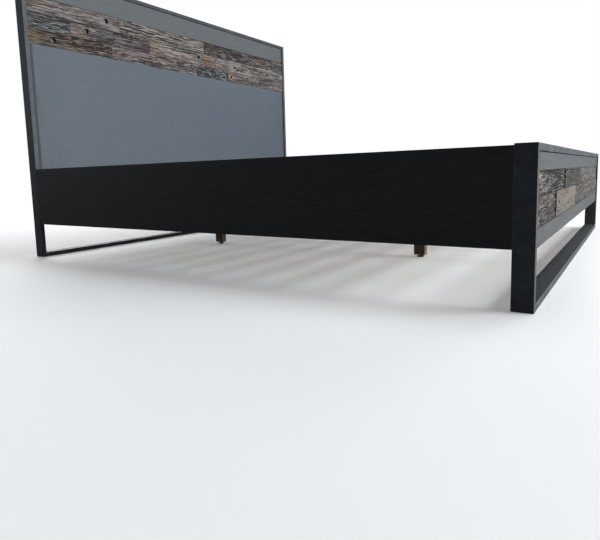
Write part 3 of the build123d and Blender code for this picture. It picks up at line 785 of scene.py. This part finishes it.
def weathered(x, z, look, seed, length, height, holes):
    """The depth in mm that weather has taken at each point, and the masks that the shader uses.

    Each texture has its own seed, a fixed number after the board's.
    """
    line = grain_line(x, z, look, seed)
    tone, depth = ridges(x, z, line, look, seed)
    crack = cracks_along(x, line, look, seed + 7, length, height)
    crack = np.maximum(crack, pits_along(x, line, look, seed + 14))
    knot, knot_rings = knot_masks(x, z, look, seed + 8)
    tone = tone * (1 - knot) + (0.14 + 0.50 * knot_rings) * knot
    worn = edge_wear(x, z, seed + 10, length, height)
    depth = depth * (1 - 0.5 * knot) + CRACK_DEPTH * crack + EDGE_WEAR_DEPTH * worn
    depth, hole_masks = spike_holes(x, z, depth, seed + 11, holes)
    masks = {"tone": tone, "crack": crack, "knot": knot, "worn": worn, **hole_masks}
    masks["warm"] = smooth(fractal(x, line, 170, 13, seed + 12), 0.40, 0.66)
    masks["streak"] = fractal(x, line, 75, 5.0, seed + 13)
    return depth, {name: np.clip(values, 0, 1) for name, values in masks.items()}


def grid_lines(length, step, places):
    """Grid lines across a length, closer together around each place and near both edges."""
    lines = [0.0]
    while lines[-1] < length:
        here = lines[-1]
        by_hole = any(abs(here - place) < HOLE_REACH for place in places)
        by_edge = here < FIRST_EDGE or here > length - LAST_EDGE
        lines.append(here + (STEP_BY_HOLE if by_hole else STEP_BY_EDGE if by_edge else step))
    lines[-1] = length
    if len(lines) > 2 and lines[-1] - lines[-2] < LEAST_STEP:
        lines.pop(-2)
    return np.array(lines)


def board_faces(columns, rows):
    """Quads for the front, then the rim and the back of a board whose rim points come after the grid's."""
    front = []
    for j in range(rows - 1):
        for i in range(columns - 1):
            a = j * columns + i
            front.append((a, a + 1, a + columns + 1, a + columns))
    loop = list(range(columns))
    loop += [j * columns + columns - 1 for j in range(1, rows)]
    loop += [(rows - 1) * columns + i for i in range(columns - 2, -1, -1)]
    loop += [j * columns for j in range(rows - 2, 0, -1)]
    start = rows * columns
    count = len(loop)
    rim = [(loop[(k + 1) % count], loop[k], start + k, start + (k + 1) % count) for k in range(count)]
    low = [start + i for i in range(columns)]
    high = [start + columns + rows - 2 + i for i in range(columns)][::-1]
    back = [(low[i + 1], low[i], high[i], high[i + 1]) for i in range(1, columns - 2)]
    left_side = [start + count - k for k in range(1, rows - 1)]
    back.append([low[1], low[0], *left_side, high[0], high[1]])
    right_side = [start + columns - 1 + k for k in range(1, rows - 1)]
    back.append([high[-2], high[-1], *right_side[::-1], low[-1], low[-2]])
    return front, loop, rim, back


def cad_holes(node, low):
    """Centre and radius in mm of each blind hole in a CAD board, from the board's lower left corner."""
    points = np.array([v.co for v in NODES[node].data.vertices])
    bottoms = points[np.abs(points[:, 1] - low.y - CAD_HOLE_DEPTH) < SAME_LEVEL]
    groups = []
    for x in sorted(bottoms[:, 0]):
        if not groups or x - groups[-1][-1] > HOLES_APART:
            groups.append([])
        groups[-1].append(x)
    holes = []
    for group in groups:
        first, last = group[0], group[-1]
        circle = bottoms[(bottoms[:, 0] >= first) & (bottoms[:, 0] <= last)]
        centre = (circle.min(0) + circle.max(0)) / 2
        holes.append(((centre[0] - low.x) / MM, (centre[2] - low.z) / MM, (last - first) / 2 / MM))
    return holes


def lay_accents(tree, body, tone, cloud, accents):
    """The body colour with the coloured patches over it, broken up along the grain."""
    ragged = tree.plus(tree.times(tree.attribute("streak"), 1.1), tree.times(cloud, 0.5))
    for number, accent in enumerate(accents):
        mask = tree.span(tree.plus(tree.attribute(f"accent_{number}"), ragged), 1.10, 1.90)
        dark, light = tinted(accent.colour, 0.40), tinted(accent.colour, 1.35)
        shade = tree.ramp(tone, [(0.25, dark), (0.6, accent.colour), (0.95, light)])
        body = tree.mix(tree.times(mask, accent.strength, clamp=True), body, shade)
    return body


def lay_masks(tree, body, layers):
    """The body colour with each layer over it, given as a mask's name, its share and its colour."""
    for mask, share, colour in layers:
        body = tree.mix(tree.times(tree.attribute(mask), share), body, colour)
    return body


def reclaimed_material(name, look):
    """Weathered timber: light ridges, dark valleys and cracks, stained knots, holes and worn edges."""
    tree = Tree(name)
    fine = tree.noise(tree.place((16, 330, 330)), 1.8, detail=6, roughness=0.65, distortion=0.3)
    hair = tree.noise(tree.place((34, 1000, 1000)), 1.6, detail=3)
    cloud = tree.noise(tree.place((6, 6, 16)), 1.7, detail=5, roughness=0.6)
    fibre = tree.noise(tree.place((9, 150, 150)), 1.8, detail=6, roughness=0.7, distortion=0.5)
    tone = tree.attribute("tone")
    for texture, weight in ((fibre, 0.60), (fine, 0.95), (hair, 0.60), (cloud, 0.25)):
        tone = tree.plus(tone, tree.times(tree.math("SUBTRACT", texture, 0.5), weight))
    stops = [(0.24, tinted(look.dark, 0.6)), (0.42, look.dark), (0.56, look.mid), (0.82, look.light)]
    body = tree.ramp(tone, stops)
    warm = tree.times(tree.attribute("warm"), look.warmth)
    body = tree.mix(warm, body, tree.mix(1.0, body, WARM_SHIFT, blend="MULTIPLY"))
    body = lay_accents(tree, body, tone, cloud, look.accents)
    # Knots darker; crumbled edges, sawn ends and the board's sides darker still.
    body = lay_masks(tree, body, [("knot", 0.55, tinted(look.dark, 0.8)), ("worn", 0.65, EDGE_DARK)])
    stain = tree.times(tree.attribute("stain"), tree.span(cloud, 0.3, 0.7, 0.30, 0.75))
    body = tree.mix(stain, body, tinted(look.dark, 1.2))
    tree.colour(lay_masks(tree, body, [
        ("halo", 0.80, IRON_STAIN),
        ("bore", 0.85, tree.ramp(fine, HOLE_SHADES)),
        # Painted shade: near black on the hole walls and the bottoms of small holes.
        ("wall_shade", 0.97, HOLE_PAINTED_SHADE),
        ("crack", 0.90, CRACK_DARK),
    ]))
    tree.rough(tree.span(tone, 0.2, 0.8, 0.90, 0.72))
    tree.sheen(0.35)
    height = tree.plus(tree.times(fine, 0.6), tree.times(hair, 0.4))
    tree.bump(tree.plus(height, tree.times(fibre, 0.7)), TIMBER_DEPTH)
    return tree.material


def accent_mask(x, z, accent, length, height):
    """1 in the middle of an accent's region, falling to 0 over a soft border."""
    u, v = x / length, z / height
    x0, x1, z0, z1 = accent.region
    soft = accent.soft
    across = smooth(u, x0 - soft, x0 + 0.5 * soft) * (1 - smooth(u, x1 - 0.5 * soft, x1 + soft))
    above = smooth(v, z0 - PATCH_OUT, z0 + PATCH_IN)
    below = 1 - smooth(v, z1 - PATCH_IN, z1 + PATCH_OUT)
    return across * above * below


def board_mesh(name, points, back_at, masks, columns, rows):
    """A closed mesh with the relief in front and a flat back, and with the masks as point attributes."""
    front, loop, rim, back = board_faces(columns, rows)
    behind = points[loop].copy()
    behind[:, 1] = back_at
    mesh = bpy.data.meshes.new(name)
    mesh.from_pydata(np.vstack([points, behind]).tolist(), [], front + rim + back)
    mesh.polygons.foreach_set("use_smooth", [True] * len(front) + [False] * (len(rim) + len(back)))
    for mask, values in masks.items():
        flat = values.ravel()
        data = np.concatenate([flat, flat[loop]]).astype(np.float32)
        mesh.attributes.new(mask, "FLOAT", "POINT").data.foreach_set("value", data)
    return mesh


def make_board(node, look, seed):
    """A reclaimed board in the place of its CAD node."""
    low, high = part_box(node)
    length, height = (high.x - low.x) / MM, (high.z - low.z) / MM
    holes = cad_holes(node, low)
    xs = grid_lines(length, STEP_ALONG, [hole[0] for hole in holes])
    zs = grid_lines(height, STEP_UP, [hole[1] for hole in holes])
    x, z = np.meshgrid(xs, zs)
    depth, masks = weathered(x, z, look, seed, length, height, holes)
    for number, accent in enumerate(look.accents):
        masks[f"accent_{number}"] = accent_mask(x, z, accent, length, height)
    sawn = SAWN_WOBBLE * np.abs(fractal(z, x, 9, 900, seed + 9) - 0.5)
    inward = np.where(x < ON_EDGE, 1, 0) - np.where(x > length - ON_EDGE, 1, 0)
    px = low.x + (x + inward * sawn) * MM
    py = low.y + np.clip(depth, 0, DEEPEST) * MM
    pz = low.z + z * MM
    points = np.stack([px, py, pz], -1).reshape(-1, 3)
    mesh = board_mesh(node + "_timber", points, high.y, masks, len(xs), len(zs))
    mesh.materials.append(reclaimed_material(node + "_wood", look))
    piece = bpy.data.objects.new(node + "_timber", mesh)
    bpy.context.scene.collection.objects.link(piece)
    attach(piece, BODY)
    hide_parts(node)


def shaded(palette, factor):
    """A palette made lighter or darker."""
    return tuple(tinted(colour, factor) for colour in palette)


# Palettes of weathered timber, as (ridge, body, valley)
GREY = ((0.185, 0.171, 0.164), (0.104, 0.095, 0.091), (0.030, 0.027, 0.025))
TAN_GREY = ((0.198, 0.175, 0.168), (0.127, 0.109, 0.105), (0.050, 0.041, 0.039))
BLUE_GREY = ((0.150, 0.149, 0.152), (0.068, 0.068, 0.071), (0.020, 0.020, 0.021))
PURPLE = ((0.130, 0.108, 0.108), (0.063, 0.051, 0.052), (0.020, 0.016, 0.016))
ROSE = ((0.165, 0.142, 0.140), (0.088, 0.074, 0.073), (0.028, 0.022, 0.022))
GOLDEN = ((0.150, 0.115, 0.090), (0.078, 0.059, 0.046), (0.026, 0.019, 0.015))
UMBER = ((0.128, 0.102, 0.090), (0.059, 0.046, 0.041), (0.017, 0.013, 0.011))
CREAM = ((0.275, 0.240, 0.200), (0.195, 0.168, 0.138), (0.090, 0.073, 0.056))

# Colours of the patches
ORANGE_TINT = (0.150, 0.100, 0.070)
GOLD_TINT = (0.150, 0.110, 0.070)
PINK_TINT = (0.160, 0.128, 0.120)
TAN_TINT = (0.180, 0.150, 0.118)

LOOKS = {
    "headboard_board_top_1": Look(
        shaded(TAN_GREY, 1.12), relief=1.1, spacing=9, contrast=0.75, wave=1.2, cracks=5, run=170,
        accents=[
            Accent(GOLD_TINT, 0.35, 0.0, 1.0, 0.90, 1.1),
            Accent(GOLD_TINT, 0.50, 0.0, 0.14, 0.5, 1.1),
            Accent(tinted(TAN_GREY[2], 0.9), 0.6, 0.0, 0.9, -0.2, 0.06),
        ],
    ),
    "headboard_board_top_2": Look(
        shaded(GREY, 1.32), relief=3.2, spacing=11, contrast=1.0, wave=2.6, chop=0.35, run=90, cracks=6,
        warmth=0.45,
        accents=[Accent(GOLD_TINT, 0.4, 0.40, 1.0, 0.80, 1.1), Accent(TAN_TINT, 0.4, 0.6, 1.0, 0.0, 0.5)],
    ),
    "headboard_board_top_3": Look(
        shaded(PURPLE, 1.07), relief=2.6, spacing=7, contrast=1.0, wave=2.2, chop=0.8, run=48, cracks=8,
        knots=[(80, 40, 8), (300, 30, 9)],
        accents=[
            Accent(ORANGE_TINT, 0.6, 0.74, 0.98, 0.30, 0.8),
            Accent(PURPLE[2], 0.6, 0.0, 0.5, 0.4, 1.0),
        ],
    ),
    "headboard_board_top_4": Look(
        shaded(GREY, 0.77), relief=1.5, contrast=1.0, cracks=5,
        accents=[Accent(ORANGE_TINT, 0.6, 0.2, 1.0, 0.76, 1.1)],
    ),
    "headboard_board_middle_1": Look(
        shaded(BLUE_GREY, 1.15), relief=2.8, spacing=8.5, contrast=1.0, wave=2.0, chop=0.45, run=85,
        cracks=6, warmth=0.1,
    ),
    "headboard_board_middle_2": Look(
        shaded(ROSE, 1.31), relief=1.4, spacing=8, contrast=1.1, cracks=5,
        accents=[
            Accent(PINK_TINT, 0.8, 0.0, 0.36, 0.1, 1.1),
            Accent(ORANGE_TINT, 0.7, 0.24, 0.40, 0.2, 0.9),
            Accent(BLUE_GREY[1], 0.7, 0.55, 1.0, 0.3, 1.1),
        ],
    ),
    "headboard_board_middle_3": Look(
        shaded(ROSE, 0.95), relief=2.2, spacing=7, contrast=1.6, run=120, cracks=7,
        accents=[Accent(PURPLE[1], 0.7, 0.3, 1.0, 0.0, 0.6)],
    ),
    "headboard_board_middle_4": Look(
        shaded(TAN_GREY, 1.14), relief=1.3, spacing=9, contrast=1.05, wave=1.2, cracks=5, warmth=0.5,
        accents=[
            Accent(ORANGE_TINT, 0.8, -0.2, 0.10, -0.1, 1.1),
            Accent(ORANGE_TINT, 0.65, 0.1, 0.65, -0.1, 0.16),
            Accent(ORANGE_TINT, 1.0, 0.82, 1.1, -0.1, 1.1, soft=0.02),
        ],
    ),
    "headboard_board_middle_5": Look(
        shaded(GREY, 1.29), relief=1.8, contrast=1.0, cracks=6, knots=[(330, 36, 6)],
        accents=[
            Accent(TAN_TINT, 0.6, 0.68, 0.82, 0.2, 1.1),
            Accent(ORANGE_TINT, 0.5, 0.93, 1.1, 0.2, 1.1),
        ],
    ),
    "headboard_board_bottom_1": Look(
        shaded(GOLDEN, 1.04), chop=0.75, relief=1.9, contrast=1.25, wave=1.6, cracks=4, warmth=0.5,
        accents=[
            Accent(GOLD_TINT, 0.85, -0.3, 0.26, 0.25, 1.1, soft=0.2),
            Accent(PINK_TINT, 0.55, 0.0, 1.0, -0.1, 0.16),
        ],
    ),
    "headboard_board_bottom_2": Look(
        shaded(UMBER, 1.27), relief=2.6, spacing=8, contrast=1.35, wave=1.8, chop=0.7, run=90, cracks=7,
        accents=[Accent(TAN_TINT, 0.45, 0.0, 0.5, -0.1, 0.4)],
    ),
    "headboard_board_bottom_3": Look(
        shaded(ROSE, 1.3), relief=1.9, spacing=8, contrast=1.05, wave=2.4, run=130, cracks=6,
        knots=[(85, 34, 9), (330, 26, 7)],
        accents=[Accent(PINK_TINT, 0.5, 0.0, 0.35, 0.4, 1.1)],
    ),
    "headboard_board_bottom_4": Look(
        shaded(BLUE_GREY, 1.26), relief=3.0, spacing=7, contrast=1.0, wave=2.4, chop=0.8, run=50,
        cracks=8, warmth=0.15, knots=[(140, 34, 10)],
    ),
    "headboard_board_bottom_5": Look(
        shaded(PURPLE, 1.3), relief=1.6, spacing=8, contrast=0.9, wave=1.2, run=180, cracks=5,
        accents=[
            Accent(ORANGE_TINT, 0.8, -0.2, 0.10, 0.2, 1.1),
            Accent(PINK_TINT, 0.45, 0.8, 1.1, -0.1, 1.1),
        ],
    ),
    "footboard_board_upper_1": Look(
        shaded(GREY, 0.53), pit_height=10, relief=4.2, spacing=5.5, contrast=2.8, wave=1.8, chop=0.7,
        run=90, cracks=10, pits=1.15, warmth=0.2, knots=[(70, 30, 8), (190, 40, 8)],
        accents=[
            Accent(CREAM[0], 1.6, -0.02, 0.16, 0.3, 0.9),
            Accent(TAN_TINT, 0.45, 0.0, 0.3, 0.0, 0.4),
        ],
    ),
    "footboard_board_upper_2": Look(
        shaded(GREY, 0.34), fissures=0.5, relief=1.4, spacing=8, contrast=0.8, cracks=5, warmth=0.2,
        knots=[(430, 30, 7)],
    ),
    "footboard_board_upper_3": Look(
        shaded(GREY, 0.6), fissures=0.4, relief=1.1, spacing=9, contrast=0.4, wave=1.4, cracks=5,
        accents=[Accent(PINK_TINT, 0.45, 0.1, 0.9, 0.30, 0.38)],
    ),
    "footboard_board_lower_1": Look(
        shaded(GREY, 0.36), pit_height=9, relief=2.8, spacing=6.0, contrast=1.1, wave=1.4, chop=0.7,
        run=70, cracks=7, pits=0.85, warmth=0.5, knots=[(40, 44, 9), (210, 50, 7)],
        accents=[
            Accent(CREAM[0], 0.85, -0.1, 0.20, -0.2, 0.28),
            Accent(PINK_TINT, 0.4, 0.2, 0.9, 0.5, 1.1),
        ],
    ),
    "footboard_board_lower_2": Look(
        shaded(CREAM, 0.56), fissures=0.15, relief=0.7, spacing=10, contrast=0.25, cracks=2, run=200,
        knots=[(62, 42, 8)],
    ),
    "footboard_board_lower_3": Look(
        shaded(GREY, 0.53), relief=1.6, spacing=8, contrast=0.75, cracks=8, knots=[(56, 38, 13)],
        accents=[
            Accent(TAN_TINT, 0.4, 0.3, 1.0, 0.4, 1.1),
            Accent(BLUE_GREY[1], 0.8, 0.80, 1.1, -0.1, 0.5),
        ],
    ),
}


# ---- The scene ----------------------------------------------------------------------

FIRST_SEED = 100
SEED_STEP = 17

make_camera()
make_studio()
dress_cad_nodes()
for number, (board, board_look) in enumerate(LOOKS.items()):
    make_board(board, board_look, FIRST_SEED + SEED_STEP * number)
